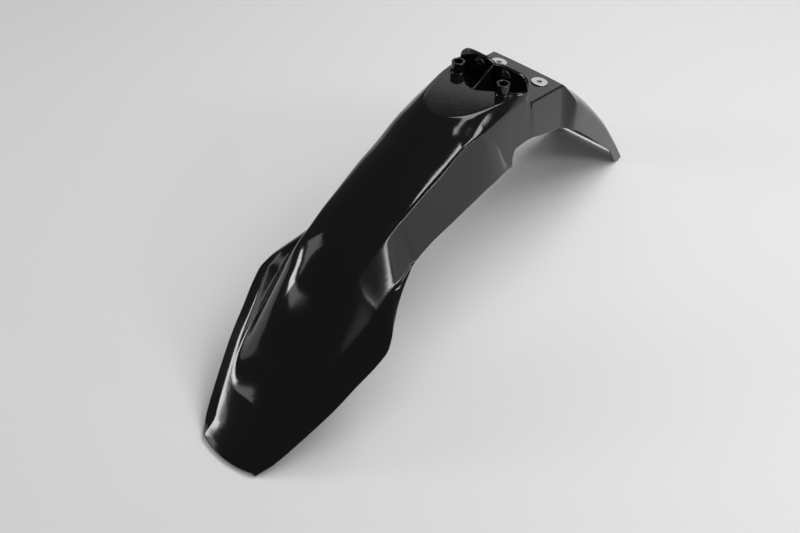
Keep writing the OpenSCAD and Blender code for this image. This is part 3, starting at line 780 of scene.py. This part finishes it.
# --------------------------------------------------------------- materials
def plastic_material():
    m = bpy.data.materials.new("black_gloss_plastic")
    m.use_nodes = True
    nt = m.node_tree
    bsdf = nt.nodes["Principled BSDF"]
    bsdf.inputs["Base Color"].default_value = (0.0045, 0.0045, 0.005, 1)
    bsdf.inputs["IOR"].default_value = 1.5
    co = nt.nodes.new("ShaderNodeTexCoord")
    # slow change of gloss, as where it has been handled
    slow = nt.nodes.new("ShaderNodeTexNoise")
    slow.inputs["Scale"].default_value = 22
    slow.inputs["Detail"].default_value = 4
    nt.links.new(co.outputs["Object"], slow.inputs["Vector"])
    rough = nt.nodes.new("ShaderNodeMapRange")
    rough.inputs["From Min"].default_value = 0.35
    rough.inputs["From Max"].default_value = 0.7
    rough.inputs["To Min"].default_value = 0.07
    rough.inputs["To Max"].default_value = 0.12
    nt.links.new(slow.outputs["Fac"], rough.inputs["Value"])
    nt.links.new(rough.outputs["Result"], bsdf.inputs["Roughness"])
    # orange peel of the mould and a very fine grain
    peel = nt.nodes.new("ShaderNodeTexNoise")
    peel.inputs["Scale"].default_value = 260
    peel.inputs["Detail"].default_value = 2
    nt.links.new(co.outputs["Object"], peel.inputs["Vector"])
    fine = nt.nodes.new("ShaderNodeTexNoise")
    fine.inputs["Scale"].default_value = 1800
    fine.inputs["Detail"].default_value = 2
    nt.links.new(co.outputs["Object"], fine.inputs["Vector"])
    b1 = nt.nodes.new("ShaderNodeBump")
    b1.inputs["Strength"].default_value = 0.05
    b1.inputs["Distance"].default_value = 0.0006
    nt.links.new(peel.outputs["Fac"], b1.inputs["Height"])
    b2 = nt.nodes.new("ShaderNodeBump")
    b2.inputs["Strength"].default_value = 0.04
    b2.inputs["Distance"].default_value = 0.0001
    nt.links.new(fine.outputs["Fac"], b2.inputs["Height"])
    nt.links.new(b1.outputs["Normal"], b2.inputs["Normal"])
    nt.links.new(b2.outputs["Normal"], bsdf.inputs["Normal"])
    return m


def metal_material():
    m = bpy.data.materials.new("zinc_plated_steel")
    m.use_nodes = True
    nt = m.node_tree
    bsdf = nt.nodes["Principled BSDF"]
    bsdf.inputs["Metallic"].default_value = 1.0
    co = nt.nodes.new("ShaderNodeTexCoord")
    n1 = nt.nodes.new("ShaderNodeTexNoise")
    n1.inputs["Scale"].default_value = 500
    n1.inputs["Detail"].default_value = 5
    nt.links.new(co.outputs["Object"], n1.inputs["Vector"])
    ramp = nt.nodes.new("ShaderNodeValToRGB")
    ramp.color_ramp.elements[0].color = (0.56, 0.57, 0.59, 1)
    ramp.color_ramp.elements[1].color = (0.82, 0.82, 0.83, 1)
    nt.links.new(n1.outputs["Fac"], ramp.inputs["Fac"])
    nt.links.new(ramp.outputs["Color"], bsdf.inputs["Base Color"])
    r = nt.nodes.new("ShaderNodeMapRange")
    r.inputs["To Min"].default_value = 0.34
    r.inputs["To Max"].default_value = 0.5
    nt.links.new(n1.outputs["Fac"], r.inputs["Value"])
    nt.links.new(r.outputs["Result"], bsdf.inputs["Roughness"])
    b = nt.nodes.new("ShaderNodeBump")
    b.inputs["Strength"].default_value = 0.12
    b.inputs["Distance"].default_value = 0.0002
    nt.links.new(n1.outputs["Fac"], b.inputs["Height"])
    nt.links.new(b.outputs["Normal"], bsdf.inputs["Normal"])
    return m


plastic, zinc = plastic_material(), metal_material()
for ob in pieces_plastic:
    ob.data.materials.clear()
    ob.data.materials.append(plastic)
    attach(ob, "root")
for ob in pieces_metal:
    ob.data.materials.clear()
    ob.data.materials.append(zinc)
    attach(ob, "root")
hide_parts("mudguard_shell")

# ------------------------------------------------------ floor, light, camera
FLOOR_HALF, FLOOR_GREY = 6, 0.78
SENSOR_W, FOCAL_PX, PHOTO_W = 36, 1038, 800

floor_me = bpy.data.meshes.new("floor")
floor_me.from_pydata([(-FLOOR_HALF, -FLOOR_HALF, 0), (FLOOR_HALF, -FLOOR_HALF, 0),
                      (FLOOR_HALF, FLOOR_HALF, 0), (-FLOOR_HALF, FLOOR_HALF, 0)],
                     [], [[0, 1, 2, 3]])
floor = bpy.data.objects.new("floor", floor_me)
bpy.context.scene.collection.objects.link(floor)
fm = bpy.data.materials.new("pale_floor")
fm.use_nodes = True
fb = fm.node_tree.nodes["Principled BSDF"]
fb.inputs["Base Color"].default_value = (FLOOR_GREY, FLOOR_GREY, FLOOR_GREY, 1)
fb.inputs["Roughness"].default_value = 0.85
fb.inputs["Specular IOR Level"].default_value = 0.1
floor_me.materials.append(fm)

world = bpy.data.worlds.new("studio")
bpy.context.scene.world = world
world.use_nodes = True
bg = world.node_tree.nodes["Background"]
bg.inputs["Color"].default_value = (1, 1, 1, 1)
bg.inputs["Strength"].default_value = 0.1

AIM = Vector((0, -0.05, 0.15))


def softbox(name, azimuth, elevation, distance, width, height, radiance, glossy=True, aim=AIM):
    """Area light; azimuth 0 stands behind the tail, 90 on the right."""
    a, e = math.radians(azimuth), math.radians(elevation)
    d = Vector((math.sin(a) * math.cos(e), math.cos(a) * math.cos(e), math.sin(e)))
    la = bpy.data.lights.new(name, "AREA")
    la.shape = "RECTANGLE"
    la.size, la.size_y = width, height
    la.energy = radiance * math.pi * width * height
    ob = bpy.data.objects.new(name, la)
    ob.location = aim + d * distance
    ob.rotation_euler = (-d).to_track_quat("-Z", "Y").to_euler()
    ob.visible_glossy = glossy
    bpy.context.scene.collection.objects.link(ob)
    return ob


softbox("left_front_softbox", -130, 16.5, 2.2, 0.56, 0.32, 12)
softbox("left_front_fill", -142, 17.5, 2.2, 0.6, 0.28, 2)
softbox("left_front_glow", -127, 28, 2.3, 0.7, 0.22, 1.8)
softbox("right_low_strip", 77, -1.2, 1.8, 1.2, 0.05, 12)
softbox("right_softbox", 81, 37, 2.0, 0.45, 0.3, 10)
softbox("right_back_softbox", 64, 25, 2.0, 0.25, 0.22, 8)
softbox("right_high_softbox", 24, 60, 2.0, 1.9, 0.65, 5)
softbox("back_softbox", -28, 20, 2.6, 2.2, 1.2, 0.8)
softbox("top_softbox", 92, 70, 3.5, 3.5, 3.5, 1.42, glossy=False, aim=Vector((0, 0.25, 0)))

cam_data = bpy.data.cameras.new("camera")
cam_data.sensor_fit = "HORIZONTAL"
cam_data.sensor_width = SENSOR_W
cam_data.lens = FOCAL_PX / PHOTO_W * SENSOR_W
cam_data.dof.use_dof = False
cam = bpy.data.objects.new("camera", cam_data)
cam.location = (0.61049, (-386.90 - MID_Y) / 1000, (1077.89 + RISE) / 1000)
look = Vector((-0.446335, 0.515661, -0.731354))
cam.rotation_euler = look.to_track_quat("-Z", "Y").to_euler()
bpy.context.scene.collection.objects.link(cam)
bpy.context.scene.camera = cam

bpy.context.scene.view_settings.view_transform = "Standard"
